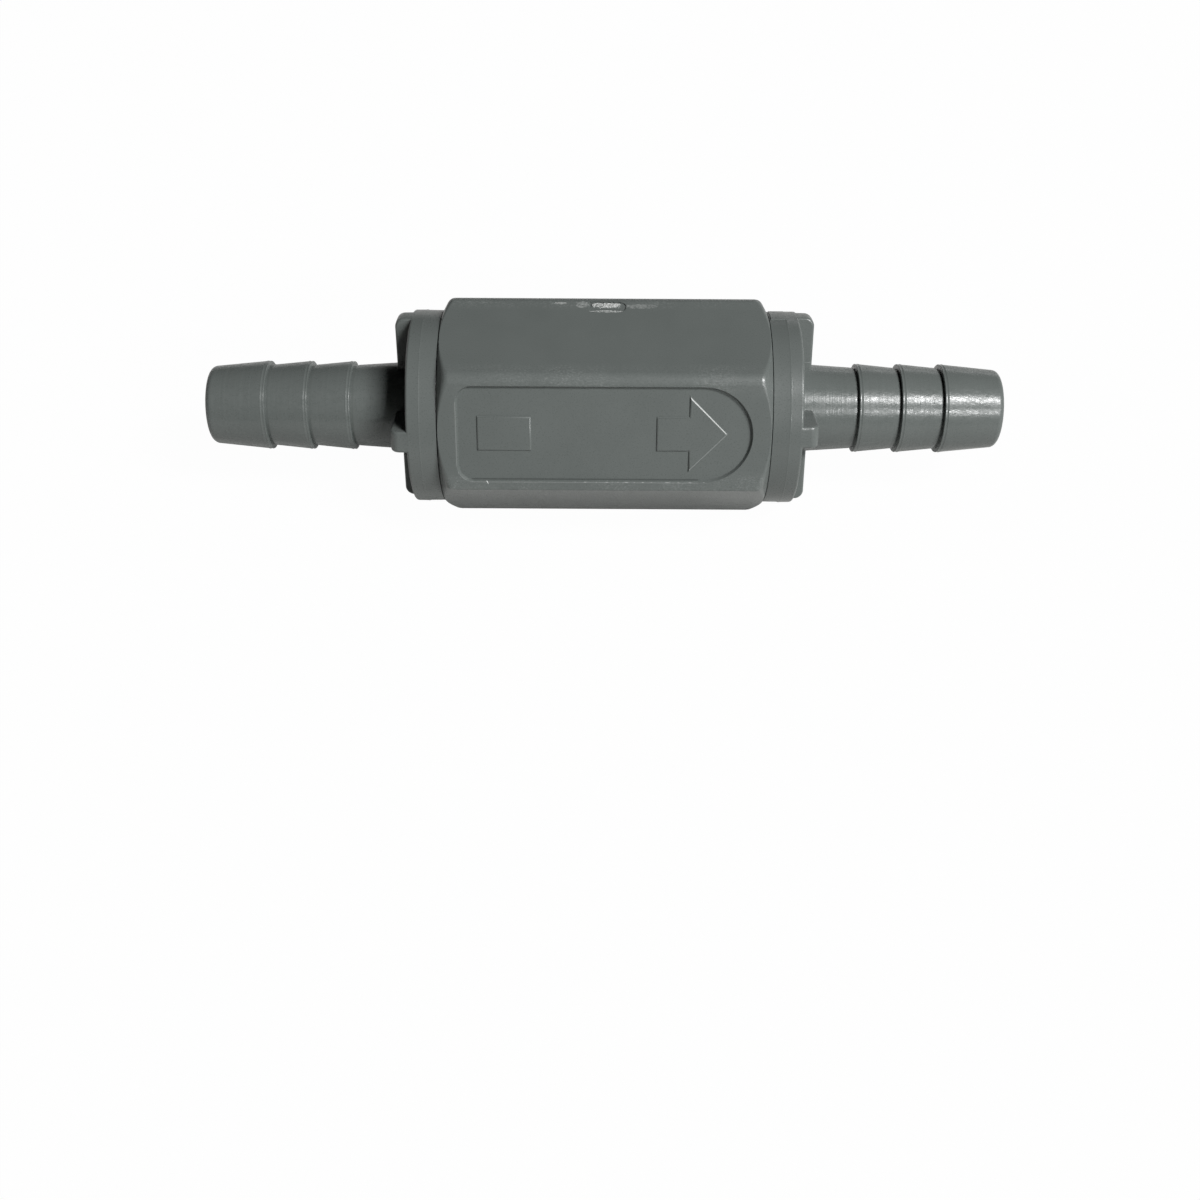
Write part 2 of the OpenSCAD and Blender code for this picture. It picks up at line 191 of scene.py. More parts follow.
def turnPiece(name, points, steps):
    # a closed outline of (radius, place along the bore), spun about the bore axis
    piece = drawOutline(name, [(along, 0, radius) for radius, along in points])
    bpy.ops.mesh.edge_face_add()
    bpy.ops.mesh.delete(type='ONLY_FACE')
    bpy.ops.mesh.select_all(action='SELECT')
    bpy.ops.mesh.spin(steps=steps, angle=2 * pi, center=(0, 0, 0), axis=(1, 0, 0))
    closeUp(piece)
    return piece


def arc(centre, radius, start, end, steps):
    # points along an arc, as (radius from the axis, place along it)
    turns = [radians(start + (end - start) * i / steps) for i in range(steps + 1)]
    return [(centre[0] + radius * cos(turn), centre[1] + radius * sin(turn)) for turn in turns]


def finishPiece(piece, node, body, material, smoothUpTo=30):
    # down to metres, shaded, fixed to its CAD body, and shown in place of the CAD node
    piece.scale = (mm, mm, mm)
    settle(piece)
    bpy.ops.object.shade_smooth_by_angle(angle=radians(smoothUpTo))
    applyModifier(piece, 'WEIGHTED_NORMAL', {'keep_sharp': True, 'weight': 50})
    piece.data.materials.clear()
    piece.data.materials.append(material)
    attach(piece, body)
    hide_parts(node)


# Nodes, and the steps that the materials share

multiply = {'operation': 'MULTIPLY'}
add = {'operation': 'ADD'}
addClamped = {'operation': 'ADD', 'use_clamp': True}
subtract = {'operation': 'SUBTRACT'}
crossed = {'operation': 'CROSS_PRODUCT'}
dotted = {'operation': 'DOT_PRODUCT'}
measured = {'operation': 'LENGTH'}
smoothly = {'interpolation_type': 'SMOOTHSTEP'}  # inputs: value, from low, from high, to low, to high
inColour = {'data_type': 'RGBA'}  # inputs: 0 the share of the second colour, 6 the first, 7 the second


def linearColour(hexText):
    parts = [int(hexText[i:i + 2], 16) / 255 for i in (1, 3, 5)]
    return [c / 12.92 if c <= 0.04045 else ((c + 0.055) / 1.055) ** 2.4 for c in parts] + [1]


def addNode(m, kind, settings, inputs):
    # inputs are numbers, hex colours, sockets, or nodes, which stand for the output that they have in use
    node = m.node_tree.nodes.new('ShaderNode' + kind)
    for name, value in settings.items():
        setattr(node, name, value)
    for name, value in (inputs if isinstance(inputs, dict) else dict(enumerate(inputs))).items():
        if isinstance(value, bpy.types.Node):
            value = next(output for output in value.outputs if output.enabled)
        if isinstance(value, bpy.types.NodeSocket):
            m.node_tree.links.new(value, node.inputs[name])
        else:
            node.inputs[name].default_value = linearColour(value) if isinstance(value, str) else value
    return node


def startMaterial(name):
    m = bpy.data.materials.new(name)
    m.use_nodes = True
    m.node_tree.nodes.clear()
    return m


def finishMaterial(m, height, bump, inputs):
    strength, distance = bump
    bumps = addNode(m, 'Bump', {}, {'Strength': strength, 'Distance': distance, 'Height': height})
    shader = addNode(m, 'BsdfPrincipled', {}, {**inputs, 'Normal': bumps})
    addNode(m, 'OutputMaterial', {}, {'Surface': shader})
    return m


def addPatterns(m, place, patterns):
    # each pattern is the width of one lump in mm, detail, roughness, and how close it is along the valve
    made = {}
    for name, (size, detail, roughness, close) in patterns.items():
        along = addNode(m, 'Mapping', {}, {'Vector': place, 'Scale': (close, 1, 1)})
        made[name] = addNode(m, 'TexNoise', {}, {
            'Vector': along, 'Scale': 1 / (size * mm), 'Detail': detail, 'Roughness': roughness})
    return made


def besideBore(m, place):
    # the place as (how far along the bore, how far from its axis)
    along = addNode(m, 'SeparateXYZ', {}, [place]).outputs['X']
    across = addNode(m, 'Mapping', {}, {'Vector': place, 'Scale': (0, 1, 1)})
    return addNode(m, 'CombineXYZ', {}, [along, addNode(m, 'VectorMath', measured, [across])])


def addTo(m, value, amount, masks):
    # the value and the amount, which counts in full where every mask is 1
    for mask in masks:
        amount = addNode(m, 'Math', multiply, [amount, mask])
    return addNode(m, 'Math', add, [value, amount])


def paintOver(m, colour, shade, strength, masks):
    # the shade over the colour, at its full strength where every mask is 1
    for mask in masks:
        strength = addNode(m, 'Math', multiply, [strength, mask])
    return addNode(m, 'Mix', inColour, {0: strength, 6: colour, 7: shade})


def nearness(m, place, middle, size, ragged, outer=1.02, inner=0.82):
    # a mask, 1 inside an ellipsoid of this size and 0 outside, with a ragged edge
    scale = [2 / (v * mm) for v in size]
    away = addNode(m, 'Mapping', {}, {
        'Vector': place, 'Scale': scale, 'Location': [-v * mm * k for v, k in zip(middle, scale)]})
    away = addNode(m, 'Math', add, [addNode(m, 'VectorMath', measured, [away]), ragged])
    return addNode(m, 'MapRange', smoothly, [away, outer, inner])


def edgeLineMasks(m, place, start, end, width, fade=0.3, inner=0.35, outer=0.6):
    # masks, which are all 1 on the line from start to end and fade beside it and at its ends
    start, end, fade = Vector(start) * mm, Vector(end) * mm, fade * mm
    length, along = (end - start).length, (end - start).normalized()
    away = addNode(m, 'VectorMath', subtract, [place, start])
    aside = addNode(m, 'VectorMath', measured, [addNode(m, 'VectorMath', crossed, [away, along])])
    on = addNode(m, 'VectorMath', dotted, [away, along])
    return [addNode(m, 'MapRange', smoothly, [aside, width * outer * mm, width * inner * mm]),
            addNode(m, 'MapRange', smoothly, [on, 0, fade]),
            addNode(m, 'MapRange', smoothly, [on, length, length - fade])]


# Materials

pvcLook = {
    # 'torn' is the whitened plastic's colour and also serves for painted highlights; 'paintedShade' is
    # painted shade
    'light': '#666b69', 'dark': '#5e6361', 'scuffed': '#8d918f', 'torn': '#d4d6d4', 'paintedShade': '#3c403e',
    'ior': 1.53, 'bump': (0.6, 1.0), 'scuffTint': 0.5, 'scuffRoughness': 0.15, 'nickRagged': 0.3,
    'patterns': {'clouds': (7.0, 3, 0.5, 1), 'grain': (0.22, 2, 0.6, 1), 'waves': (3.5, 1, 0.5, 1),
                 'streaks': (0.2, 4, 0.75, 0.6), 'patches': (9.0, 1, 0.5, 1)},
    'heights': {'grain': 0.011, 'waves': 0.02},  # in mm
    # from low to high in the pattern, to low and high in what it is used for
    'roughness': (0.3, 0.7, 0.26, 0.37), 'patchy': (0.35, 0.62, 0.25, 1), 'scuffs': (0.47, 0.68, 0, 1),
    'broken': (0.25, 0.6, 0.6, 1),
}

polish = {
    # how far the gloss is stretched and turned, and how wide the edge of the polished part is in mm
    'stretch': 0.5, 'turn': 0.25, 'edge': 0.2, 'height': 0.055, 'blotchy': (0.38, 0.62, -0.055, 0.065),
    'patterns': {'pebble': (0.7, 3, 0.65, 0.6), 'blotches': (0.9, 4, 0.7, 0.7)},
    # the tool's rings in the mould are finer than this, and are drawn as coarse as they need to be to show
    'rings': {'rings': (0.55, 2, 0.6, 1)},
}


def mouldedPvc(name, rubbed, scar=None, nicks=(), wearAndPaintedLight=(), turned=None):
    # Injection-moulded rigid PVC, pigmented grey. It comes semi-gloss out of a finely blasted mould, with
    # faint clouds where the melt flowed. Corners at the radius 'rubbed' and beyond are scuffed paler.
    # Inside the radius 'turned' the mould was turned and polished, which stretches the gloss along the valve.
    look = pvcLook
    m = startMaterial(name)
    place = addNode(m, 'TexCoord', {}, {}).outputs['Object']
    beside = besideBore(m, place)
    radius = addNode(m, 'SeparateXYZ', {}, [beside]).outputs['Y']
    pattern = addPatterns(m, place, look['patterns'])
    colour = addNode(m, 'Mix', inColour, {0: pattern['clouds'], 6: look['dark'], 7: look['light']})
    rough = addNode(m, 'MapRange', smoothly, [pattern['grain'], *look['roughness']])
    height = 0
    for part, rise in look['heights'].items():
        height = addTo(m, height, rise * mm, [pattern[part]])

    # scuffs run along the valve, in short streaks
    scuff = [addNode(m, 'MapRange', smoothly, [radius, rubbed[0] * mm, rubbed[1] * mm]),
             addNode(m, 'MapRange', smoothly, [pattern['patches'], *look['patchy']]),
             addNode(m, 'MapRange', smoothly, [pattern['streaks'], *look['scuffs']])]
    colour = paintOver(m, colour, look['scuffed'], look['scuffTint'], scuff)
    rough = addTo(m, rough, look['scuffRoughness'], scuff)

    if scar:
        # the plastic whitened where it stretched before the gate broke, most on the stub, and a painted
        # highlight along the hollow's lower lip
        pattern.update(addPatterns(m, place, scar['patterns']))
        ragged = addNode(m, 'MapRange', {}, [pattern['ragged'], 0, 1, -scar['ragged'], scar['ragged']])
        flecks = addNode(m, 'MapRange', smoothly, [pattern['flecks'], *scar['flecked']])
        spots = [nearness(m, place, (*middle, flatHeight), (*size, scar['deep']), ragged)
                 for middle, size, amount in scar['white']]
        for spot, (middle, size, amount) in zip(spots, scar['white']):
            colour = paintOver(m, colour, look['torn'], amount, [spot, flecks])
        height = addTo(m, height, scar['torn'] * mm, [spots[0], pattern['flecks']])
    for middle, size, amount in nicks:
        ragged = addNode(m, 'Math', multiply, [pattern['grain'], look['nickRagged']])
        spot = nearness(m, place, middle, size, ragged)
        colour = paintOver(m, colour, look['torn'], amount, [spot])
    # lines along edges: wear, painted highlights on the arrow's edges and the panel's lips, and painted shade
    # at the lower wall's foot
    for start, end, width, shade, amount in wearAndPaintedLight:
        broken = addNode(m, 'MapRange', smoothly, [pattern['streaks'], *look['broken']])
        colour = paintOver(m, colour, look[shade], amount, edgeLineMasks(m, place, start, end, width) + [broken])

    gloss = {}
    if turned:
        edge = [radius, turned * mm, (turned + polish['edge']) * mm]
        inside = addNode(m, 'MapRange', smoothly, [*edge, 1, 0])
        gloss = {'Anisotropic': addNode(m, 'MapRange', smoothly, [*edge, polish['stretch'], 0]),
                 'Anisotropic Rotation': polish['turn'],
                 'Tangent': addNode(m, 'Tangent', {'direction_type': 'RADIAL', 'axis': 'X'}, {})}
        pattern.update(addPatterns(m, beside, polish['rings']))
        pattern.update(addPatterns(m, place, polish['patterns']))
        for part in ('rings', 'pebble'):
            height = addTo(m, height, polish['height'] * mm, [inside, pattern[part]])
        blotches = addNode(m, 'MapRange', smoothly, [pattern['blotches'], *polish['blotchy']])
        rough = addTo(m, rough, blotches, [inside])

    return finishMaterial(m, height, look['bump'], {
        'Base Color': colour, 'Roughness': rough, 'IOR': look['ior'], **gloss})


rubberLook = {
    'black': '#1d1e1f', 'bloomed': '#2f3031', 'ior': 1.52, 'bump': (0.5, 0.006 * mm),
    'patterns': {'bloom': (1.4, 4, 0.65, 1), 'grain': (0.12, 2, 0.5, 1)},
    'bloomTint': (0.45, 0.75), 'roughness': (0.3, 0.7, 0.48, 0.66),
}


def nitrileRubber():
    # Compression-moulded black nitrile: dull, with a bloom of talc in the finest dips
    look = rubberLook
    m = startMaterial('nitrileRubber')
    place = addNode(m, 'TexCoord', {}, {}).outputs['Object']
    pattern = addPatterns(m, place, look['patterns'])
    bloom = addNode(m, 'MapRange', smoothly, [pattern['bloom'], *look['bloomTint']])
    colour = addNode(m, 'Mix', inColour, {0: bloom, 6: look['black'], 7: look['bloomed']})
    rough = addNode(m, 'MapRange', smoothly, [pattern['bloom'], *look['roughness']])
    return finishMaterial(m, pattern['grain'], look['bump'], {
        'Base Color': colour, 'Roughness': rough, 'IOR': look['ior']})


acetalLook = {
    'dark': '#d3d1c6', 'light': '#dfddd4', 'ior': 1.48, 'bump': (0.5, 0.006 * mm),
    'clouds': {'clouds': (4.0, 3, 0.5, 1)}, 'rings': {'rings': (0.12, 2, 0.6, 1)},
    'roughness': (0.3, 0.7, 0.34, 0.46), 'milky': 0.15, 'milkyDepth': (0.9 * mm, 0.8 * mm, 0.7 * mm),
}


def machinedAcetal():
    # Natural acetal turned from rod: milky white, satin, with the tool's fine rings
    look = acetalLook
    m = startMaterial('machinedAcetal')
    place = addNode(m, 'TexCoord', {}, {}).outputs['Object']
    rings = addPatterns(m, besideBore(m, place), look['rings'])['rings']
    clouds = addPatterns(m, place, look['clouds'])['clouds']
    colour = addNode(m, 'Mix', inColour, {0: clouds, 6: look['dark'], 7: look['light']})
    rough = addNode(m, 'MapRange', smoothly, [rings, *look['roughness']])
    return finishMaterial(m, rings, look['bump'], {
        'Base Color': colour, 'Roughness': rough, 'IOR': look['ior'], 'Subsurface Weight': look['milky'],
        'Subsurface Radius': look['milkyDepth'], 'Subsurface Scale': 1.0})


steelLook = {
    'dark': '#b2b4b5', 'light': '#c4c6c8', 'bump': (0.4, 0.003 * mm), 'stain': {'stain': (2.2, 4, 0.6, 1)},
    'rings': {'marks': (0.1, 2, 0.6, 1)}, 'dieLines': {'marks': (0.15, 3, 0.5, 3)},
    'roughness': (0.3, 0.7, 0.2, 0.34),
}


def stainless(name, turned):
    # Stainless steel: turned washers and screw show lathe rings, drawn wire shows faint die lines
    look = steelLook
    m = startMaterial(name)
    place = addNode(m, 'TexCoord', {}, {}).outputs['Object']
    if turned:
        marks = addPatterns(m, besideBore(m, place), look['rings'])['marks']
    else:
        marks = addPatterns(m, place, look['dieLines'])['marks']
    stain = addPatterns(m, place, look['stain'])['stain']
    colour = addNode(m, 'Mix', inColour, {0: stain, 6: look['dark'], 7: look['light']})
    rough = addNode(m, 'MapRange', smoothly, [marks, *look['roughness']])
    return finishMaterial(m, marks, look['bump'], {'Base Color': colour, 'Metallic': 1.0, 'Roughness': rough})


gateScar = {
    'length': 8.1, 'width': 2.7, 'depth': 0.17, 'place': (-0.6, 6.45), 'grid': (72, 26), 'shallowest': 0.03,
    'outline': {'size': 0.93, 'ragged': 0.09, 'close': 1.7},
    'floor': {'ragged': 0.1, 'least': 0.3, 'close': (2.6, 3.4), 'layer': 3.1},
    # a narrower, shallower lobe at the left
    'lobe': {'start': -1.9, 'middle': (-2.4, 0.4), 'size': (1.6, 0.85), 'rise': 0.14},
    'stub': {'place': (0.15, 6.95), 'size': (4.7, 1.15), 'height': 0.18},
    # whitened plastic: place on the flat, size, how white. The first is the stub. The last is a painted
    # highlight along the hollow's lit lower lip.
    'white': [((0.15, 6.98), (4.9, 1.2), 0.95), ((-3.5, 7.0), (2.3, 1.5), 0.285),
              ((5.6, 6.6), (5.2, 1.1), 0.209), ((-6.9, 7.25), (2.3, 0.5), 0.5225),
              ((0.3, 5.64), (5.4, 0.5), 0.665)],
    'patterns': {'flecks': (0.26, 3, 0.8, 0.7), 'ragged': (0.5, 2, 0.5, 1)},
    'deep': 2, 'ragged': 0.35, 'flecked': (0.39, 0.565), 'torn': 0.2,
}

knocks = {
    # place on the flat, length, width, direction in degrees, depth
    'panel': [((-17.8, -7.5), 1.0, 0.22, -52, 0.12), ((-6.1, -6.9), 0.9, 0.2, 65, 0.1),
              ((-6.5, -6.4), 0.5, 0.16, 30, 0.06)],
    'top': [((-7.9, 7.2), 0.9, 0.4, 4, 0.1)],
    # worn spots along the panel's lower lip: where, how long
    'lip': [(-4.4, 0.3), (-2.9, 0.5), (-1.2, 0.3), (0.4, 0.5), (2.1, 0.4), (3.4, 0.7), (4.6, 0.3),
            (5.9, 0.4), (7.2, 0.5), (9.6, 0.8), (11.3, 0.4), (13.1, 0.5), (15.2, 0.4)],
    # how far below the panel they are, every other one lower by the shift, and how wide, deep and turned
    'lipBelow': 0.05, 'lipShift': 0.04, 'lipWidth': 0.26, 'lipDepth': 0.05, 'lipTurns': (4, 1, -2),
    # the whitened part of each, and a whitened place beside the second knock
    'whiteBelow': 0.08, 'whiteLonger': 1.3, 'whiteWidth': 0.3, 'whiteAmount': 0.3,
    'whitePlace': ((-6.2, -6.95), (0.35, 0.7, 0.5), 0.35),
}

panel = {
    'length': 44.5, 'width': 14.7, 'lower': 0.05, 'depth': 0.58, 'corner': 2.3, 'draft': 25,
    'lip': 0.05, 'foot': 0.02, 'roundSteps': 4, 'cornerSteps': 10, 'endSteps': 24,
    # the marks' edges, step by step: inwards, up
    'markSteps': [(0.02, 0.1), (0.03, 0.04), (0.17, 0.11), (0.03, 0.01)], 'markSunk': 0.2,
    'arrow': [(7.85, -2.7), (12.75, -2.7), (12.75, -6), (18.65, 0), (12.75, 6), (12.75, 2.7), (7.85, 2.7)],
    'tail': [(-19.25, -2.7), (-11.05, -2.7), (-11.05, 2.7), (-19.25, 2.7)],
}

panelWearAndPaintedLight = {
    # start and end on the panel: along, across, how far under the flat. Then width, shade, how strong.
    # the arrow's slanted edges: painted highlight, strongest on the upper edge that faces the lamps
    'arrowUpperEdge': ((12.72, 5.85, 0.34), (18.5, 0.02, 0.34), 0.22, 'torn', 0.62),
    'arrowLowerEdge': ((12.72, -5.85, 0.34), (18.5, -0.02, 0.34), 0.2, 'torn', 0.15),
    # the lower and left lips: painted highlight where the lips face the lamps, broken into streaks
    'lowerLip': ((-20.6, -7.54, 0), (14.5, -7.54, 0), 0.2, 'torn', 0.1),
    'leftLip': ((-22.37, -5.3, 0), (-22.37, 5.1, 0), 0.26, 'torn', 0.1),
    # painted shade at the foot of the lower wall, where the wall shades the panel's floor
    'footOfLowerWall': ((-20.4, -7.27, 0.56), (14.5, -7.27, 0.56), 0.3, 'paintedShade', 0.6),
    'nick': ((-18.1, -7.15, 0.2), (-17.55, -7.95, 0), 0.2, 'torn', 0.6),
}


def panelSpot(x, y, down=0):
    # a place on the panel's flat or this far under it, seen from the valve's middle
    up, out = radians(90 - panelTurn), flatHeight - down
    return (x, -out * cos(up) + y * sin(up), out * sin(up) + y * cos(up))


def whitenedSpots():
    s = knocks
    spots = []
    for i, (x, length) in enumerate(s['lip']):
        y = -panel['width'] / 2 - s['whiteBelow'] - s['lipShift'] * (i % 2)
        size = (length * s['whiteLonger'], s['whiteWidth'], s['whiteWidth'])
        spots.append((panelSpot(x, y), size, s['whiteAmount']))
    place, size, amount = s['whitePlace']
    return spots + [(panelSpot(*place), size, amount)]


wornAndPaintedEdges = [(panelSpot(*start), panelSpot(*end), *rest) for start, end, *rest in panelWearAndPaintedLight.values()]
bodyPvc = mouldedPvc('mouldedBodyPvc', rubbed=(16.2, 16.75), scar=gateScar, nicks=whitenedSpots(),
                     wearAndPaintedLight=wornAndPaintedEdges)
endPvc = mouldedPvc('mouldedEndPvc', rubbed=(15.09, 15.2), turned=8)
rubber = nitrileRubber()
acetal = machinedAcetal()
turnedSteel = stainless('turnedStainless', turned=True)
wireSteel = stainless('drawnStainlessWire', turned=False)
print('materials made')


# Hex body

hexBody = {
    'halfLength': 25.25, 'corner': 2.1, 'cornerSteps': 8, 'partingCorner': 0.3, 'partingSteps': 3,
    'cuts': 22, 'faceRadius': 15.1, 'chamfer': 30, 'soft': 0.8, 'softShare': 0.35,
    # one ring on the flats, two on the round, one on the turned cone
    'softRings': (0, 0.34, 0.67, 1),
    # the face's broken edge: out from its radius, along from the end
    'faceEdge': [(0.02, -0.04), (-0.04, 0)],
    # bore from the end inwards: radius, place along the flow
    'bore': [(12.35, 25.25), (12.2, 25.1), (12.2, 23.8), (10.65, 23.8), (10.55, 23.7), (10.55, 9.0),
             (9.6, 9.0), (9.5, 8.9), (9.5, 0.0)],
}


def makeHexBlank():
    s = hexBody
    slope = tan(radians(s['chamfer']))
    deselectAll()
    bpy.ops.mesh.primitive_circle_add(vertices=6, radius=flatHeight / cos(pi / 6), fill_type='NGON',
                                      rotation=(0, pi / 2, 0))
    body = bpy.context.object
    body.name = 'hexBody'
    settle(body)
    choose(body, 'VERT', lambda v: abs(v.co.z) > samePoint)
    bpy.ops.mesh.bevel(offset=s['corner'] * tan(pi / 6), segments=s['cornerSteps'], affect='VERTICES')
    choose(body, 'VERT', lambda v: abs(v.co.z) < samePoint)
    bpy.ops.mesh.bevel(offset=s['partingCorner'] * tan(pi / 6), segments=s['partingSteps'], affect='VERTICES')
    bpy.ops.mesh.select_mode(type='FACE')
    bpy.ops.mesh.select_all(action='SELECT')
    bpy.ops.mesh.delete(type='ONLY_FACE')
    choose(body, 'EDGE', lambda e: e.calc_length() > flatHeight / 2)
    bpy.ops.mesh.subdivide(number_cuts=s['cuts'])

    # the turned corner starts softly
    choose(body, 'EDGE', anyPart)
    outline = [v.co.copy() for v in bmesh.from_edit_mesh(body.data).verts]
    lean = Vector((sin(radians(s['chamfer'])), -cos(radians(s['chamfer']))))
    for share in s['softRings']:

        def onSoftCorner(co):
            start = max(outline, key=lambda point: (co.y * point.y + co.z * point.z) / point.length)
            outer = fromAxis(start)
            soft = min(s['soft'], s['softShare'] * (outer - s['faceRadius']) / -lean.y)
            corner = Vector((s['halfLength'] - (outer - s['faceRadius']) * slope, outer))
            spot = ((corner - Vector((soft, 0))) * (1 - share) ** 2 + corner * 2 * share * (1 - share)
                    + (corner + lean * soft) * share ** 2)
            return Vector((spot.x, start.y * spot.y / outer, start.z * spot.y / outer))

        extrude()
        placeChosen(body, onSoftCorner)
    for out, on in s['faceEdge']:
        radius, along = s['faceRadius'] + out, s['halfLength'] + on

        def onRing(co):
            return Vector((along, co.y * radius / fromAxis(co), co.z * radius / fromAxis(co)))

        extrude()
        placeChosen(body, onRing)
    for nextRadius, nextAlong in s['bore']:
        extrude(x=nextAlong - along)
        k = nextRadius / radius
        bpy.ops.transform.resize(value=(1, k, k), center_override=(0, 0, 0))
        radius, along = nextRadius, nextAlong
    applyModifier(body, 'MIRROR', {'use_mirror_merge': True, 'merge_threshold': samePoint})
    closeUp(body)

    def onFlat(face):
        # two flats face straight up and down, the others 60 degrees away from that
        tilt = abs(face.normal.z)
        level = min(abs(tilt - 1), abs(tilt - 0.5)) < 0.0001 and abs(face.normal.x) < 0.001
        return level and fromAxis(face.calc_center_median()) > s['bore'][0][0]

    # each flat becomes one face
    choose(body, 'FACE', onFlat)
    bpy.ops.mesh.dissolve_limited(angle_limit=radians(0.2))
    return body


def ontoPanelFlat(tool):
    turn = Matrix.Rotation(radians(panelTurn), 3, 'X')
    tool.location = turn @ Vector((0, 0, flatHeight))
    tool.rotation_euler = turn.to_euler()
    settle(tool)


def makePanelTool():
    # the wall slopes in from a rounded lip to a rounded foot
    s = panel
    turns = [radians((90 - s['draft']) * i / s['roundSteps']) for i in range(s['roundSteps'] + 1)]
    curve = [(sin(b) - sin(a), cos(a) - cos(b)) for a, b in zip(turns, turns[1:])]
    wall = s['depth'] - (s['lip'] + s['foot']) * sum(down for inwards, down in curve)
    steps = [(s['lip'] * inwards, s['lip'] * down) for inwards, down in curve]
    steps += [(wall * tan(radians(s['draft'])), wall)]
    steps += [(s['foot'] * inwards, s['foot'] * down) for inwards, down in reversed(curve)]
    spread = sum(inwards for inwards, down in steps) / 2

    deselectAll()
    bpy.ops.mesh.primitive_plane_add(size=1)
    tool = bpy.context.object
    tool.name = 'panelTool'
    tool.scale = (s['length'] + 2 * spread, s['width'] + 2 * spread, 1)
    tool.location = (0, -s['lower'], 0)
    settle(tool)
    choose(tool, 'VERT', lambda v: v.co.x < 0)
    bpy.ops.mesh.bevel(offset=s['corner'] + spread, segments=s['cornerSteps'], affect='VERTICES')
    choose(tool, 'VERT', lambda v: v.co.x > 0)
    bpy.ops.mesh.bevel(offset=s['width'] / 2 + spread, segments=s['endSteps'], affect='VERTICES',
                       clamp_overlap=False)
    choose(tool, 'FACE', anyPart)
    extrude(z=1)
    closeUp(tool)
    choose(tool, 'FACE', facesDown)
    for inwards, down in steps:
        bpy.ops.mesh.inset(thickness=inwards, depth=down)
    ontoPanelFlat(tool)
    return tool


def makeMark(name, outline):
    # raised from below the panel's floor, with drafted sides and a rounded top edge
    s = panel
    tool = drawOutline(name, [(x, y, -s['depth'] - s['markSunk']) for x, y in outline])
    bpy.ops.mesh.edge_face_add()
    extrude(z=s['markSunk'])
    closeUp(tool)
    choose(tool, 'FACE', facesUp)
    for inwards, up in s['markSteps']:
        bpy.ops.mesh.inset(thickness=inwards, depth=up)
    ontoPanelFlat(tool)
    return tool


def makeScarTool():
    # the gate was broken off, which left a ragged hollow with the torn stub standing in it
    s = gateScar
    lobe, edge, bottom = s['lobe'], s['outline'], s['floor']
    half, wide = s['length'] / 2, s['width'] / 2
    stubX, stubY = s['stub']['place'][0] - s['place'][0], s['stub']['place'][1] - s['place'][1]
    stubLength, stubWidth = s['stub']['size']
    columns, rows = s['grid']
    deselectAll()
    bpy.ops.mesh.primitive_grid_add(x_subdivisions=columns, y_subdivisions=rows, size=1)
    tool = bpy.context.object
    tool.name = 'gateScar'
    tool.scale = (s['length'], s['width'], 1)
    settle(tool)

    def outside(vertex):
        co = vertex.co
        reach = edge['size'] + edge['ragged'] * fractal(co * edge['close'], 0.5, 2, 3)
        if co.x < lobe['start']:
            (x, y), (length, width) = lobe['middle'], lobe['size']
            return Vector(((co.x - x) / length, (co.y - y) / width)).length > reach
        return Vector((max(abs(co.x) - half + wide, 0), co.y)).length > wide * reach

    choose(tool, 'VERT', outside)
    bpy.ops.mesh.delete(type='VERT')
    choose(tool, 'FACE', anyPart)
    extrude(z=1)
    closeUp(tool)

    def onFloor(co):
        # the stub is steep at its ends and a little rounder at its sides
        ends, sides = (co.x - stubX) * 2 / stubLength, (co.y - stubY) * 2 / stubWidth
        stub = max(0, 1 - ends ** 6) * max(0, 1 - sides ** 4)
        closeX, closeY = bottom['close']
        ragged = fractal(Vector((co.x * closeX, co.y * closeY, bottom['layer'])), 0.6, 2, 4)
        height = s['stub']['height'] * stub + bottom['ragged'] * ragged * (bottom['least'] + stub)
        if co.x < lobe['start']:
            height += lobe['rise']
        return Vector((co.x, co.y, min(height - s['depth'], -s['shallowest'])))

    choose(tool, 'VERT', lambda v: v.co.z < 0.5)
    placeChosen(tool, onFloor)
    choose(tool, 'FACE', anyPart)
    bpy.ops.mesh.quads_convert_to_tris()
    tool.location = (*s['place'], flatHeight)
    settle(tool)
    return tool


def cutKnock(body, place, length, width, direction, depth, onPanel=True):
    # a shallow V cut, pointed at both ends
    deselectAll()
    bpy.ops.mesh.primitive_uv_sphere_add(segments=12, ring_count=8, radius=0.5)
    tool = bpy.context.object
    tool.scale = (length, width, 2 * depth)
    tool.rotation_euler = (0, 0, radians(direction))
    tool.location = (*place, 0)
    settle(tool)
    if onPanel:
        ontoPanelFlat(tool)
    else:
        tool.location.z = flatHeight
        settle(tool)
    combine(body, tool, 'DIFFERENCE')


def knockBody(body):
    s = knocks
    for knock in s['panel']:
        cutKnock(body, *knock)
    for i, (x, length) in enumerate(s['lip']):
        y = -panel['width'] / 2 - s['lipBelow'] - s['lipShift'] * (i % 2)
        cutKnock(body, (x, y), length, s['lipWidth'], s['lipTurns'][i % 3], s['lipDepth'])
    for knock in s['top']:
        cutKnock(body, *knock, onPanel=False)


body = makeHexBlank()
combine(body, makePanelTool(), 'DIFFERENCE')
combine(body, makeMark('arrowMark', panel['arrow']), 'UNION')
combine(body, makeMark('tailMark', panel['tail']), 'UNION')
combine(body, makeScarTool(), 'DIFFERENCE')
knockBody(body)
finishPiece(body, 'hex_body', 'housing', bodyPvc)
print('hex body made')


# End pieces: one moulding, screwed home at each end

